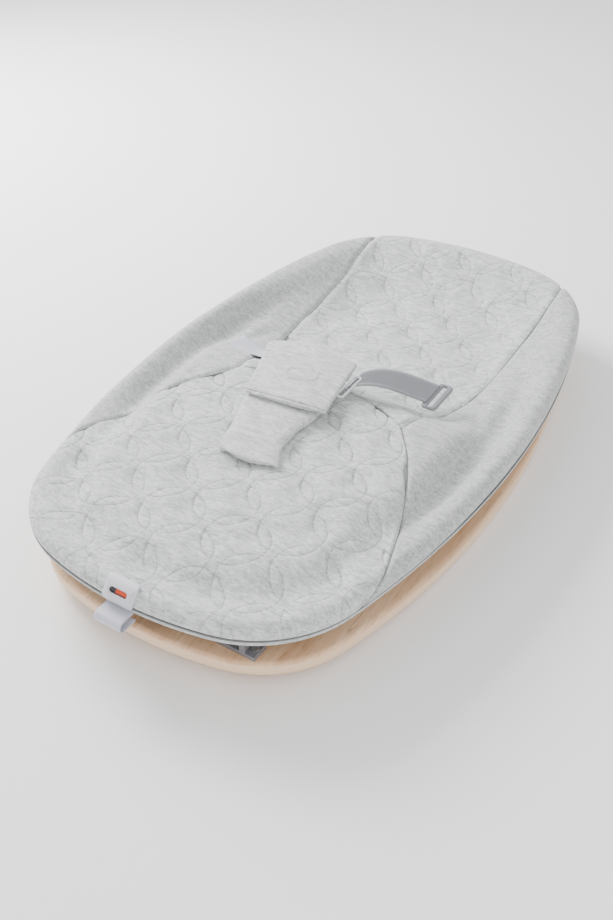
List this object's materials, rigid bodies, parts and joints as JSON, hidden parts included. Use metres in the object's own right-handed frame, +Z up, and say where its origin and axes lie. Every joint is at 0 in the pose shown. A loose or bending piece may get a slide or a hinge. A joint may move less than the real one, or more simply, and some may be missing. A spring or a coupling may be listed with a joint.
{
  "type": "bouncer seat",
  "caption": "Baby bouncer seat folded flat: a quilted sling on an oval padded tube frame, hinged to a bent plywood rocker ring, with a padded crotch harness.",
  "frame": {"origin": "on the floor, under the centre of the overall box (the pull tab included)", "axes": "+Y from the foot end to the head end, +Z up, +X to the right of someone who looks from the foot end to the head end"},
  "size_m": [0.4398, 0.768, 0.1167],
  "materials": {
    "plywood": "lacquered bent beech plywood, satin",
    "grey_rubber": "matt",
    "grey_plastic": "fine moulded texture",
    "zinc_steel": "zinc plated",
    "frame_steel": "grey powder coat",
    "bezel_plastic": "satin",
    "orange_plastic": "satin",
    "adjuster_plastic": "satin",
    "rim_jersey": "heather grey knitted jersey",
    "quilted_jersey": "heather grey quilted jersey",
    "sling_cloth": "woven polyester",
    "belt_webbing": "ribbed woven webbing",
    "lilac_ribbon": "smooth satin ribbon"
  },
  "bodies": {
    "base": {"rocker_ring": "plywood", "ring_grip_pads": "grey_rubber", "hinge_bracket_left": "grey_plastic", "hinge_bracket_right": "grey_plastic", "recline_rack_left": "grey_plastic", "recline_rack_right": "grey_plastic", "foot_end_stabiliser_mount": "grey_plastic", "head_end_stabiliser_mount": "grey_plastic", "mounting_screws": "zinc_steel", "foot_end_stabiliser_pin": "zinc_steel", "head_end_stabiliser_pin": "zinc_steel", "hinge_pins": "zinc_steel"},
    "foot_end_stabiliser": {"foot_end_stabiliser": "grey_plastic", "foot_end_stabiliser_sole": "grey_rubber"},
    "head_end_stabiliser": {"head_end_stabiliser": "grey_plastic", "head_end_stabiliser_sole": "grey_rubber"},
    "seat": {"foot_hoop_tube": "frame_steel", "head_hoop_tube": "frame_steel", "side_connector_left": "grey_plastic", "side_connector_right": "grey_plastic", "hinge_lug_left": "grey_plastic", "hinge_lug_right": "grey_plastic", "connector_rivets": "zinc_steel", "lock_housing": "grey_plastic", "lock_bezel": "bezel_plastic", "lock_housing_screws": "zinc_steel", "prop_pivot_pins": "zinc_steel", "foot_end_sleeves": "rim_jersey", "side_sleeves_left": "rim_jersey", "side_sleeves_right": "rim_jersey", "head_corner_sleeves": "rim_jersey", "head_end_sleeve": "rim_jersey", "sling": "sling_cloth", "seat_quilt": "quilted_jersey", "back_quilt": "quilted_jersey", "side_wing_left": "rim_jersey", "side_wing_right": "rim_jersey", "crotch_strap": "quilted_jersey", "crotch_wrap": "quilted_jersey", "belt_left": "lilac_ribbon", "belt_right": "belt_webbing", "belt_ring": "bezel_plastic", "belt_adjuster": "adjuster_plastic", "pull_tab": "lilac_ribbon"},
    "lock_slider": {"lock_slider": "orange_plastic"},
    "prop": {"prop_leg_left": "frame_steel", "prop_leg_right": "frame_steel", "prop_cross_bar": "frame_steel", "prop_knuckle_left": "grey_plastic", "prop_knuckle_right": "grey_plastic", "prop_shoe_left": "grey_plastic", "prop_shoe_right": "grey_plastic", "prop_glides": "grey_plastic"}
  },
  "joints": [
    {"name": "seat_recline", "type": "hinge", "parent": "base", "child": "seat", "pos_m": [0, -0.321, 0.05], "axis": [1, 0, 0], "range_deg": [0, 40]},
    {"name": "prop_swing", "type": "hinge", "parent": "seat", "child": "prop", "pos_m": [0, -0.071, 0.05], "axis": [1, 0, 0], "range_deg": [-80, 0]},
    {"name": "foot_end_stabiliser_fold", "type": "hinge", "parent": "base", "child": "foot_end_stabiliser", "pos_m": [0, -0.28259, 0.034], "axis": [1, 0, 0], "range_deg": [0, 90]},
    {"name": "head_end_stabiliser_fold", "type": "hinge", "parent": "base", "child": "head_end_stabiliser", "pos_m": [0, 0.30059, 0.034], "axis": [-1, 0, 0], "range_deg": [0, 90]},
    {"name": "lock_slide", "type": "slide", "parent": "seat", "child": "lock_slider", "axis": [-1, 0, 0], "range_m": [0, 0.005], "stiffness_N_per_m": 300}
  ],
  "couplings": [
    {"joint": "prop_swing", "follows": "seat_recline", "ratio": -2}
  ]
}
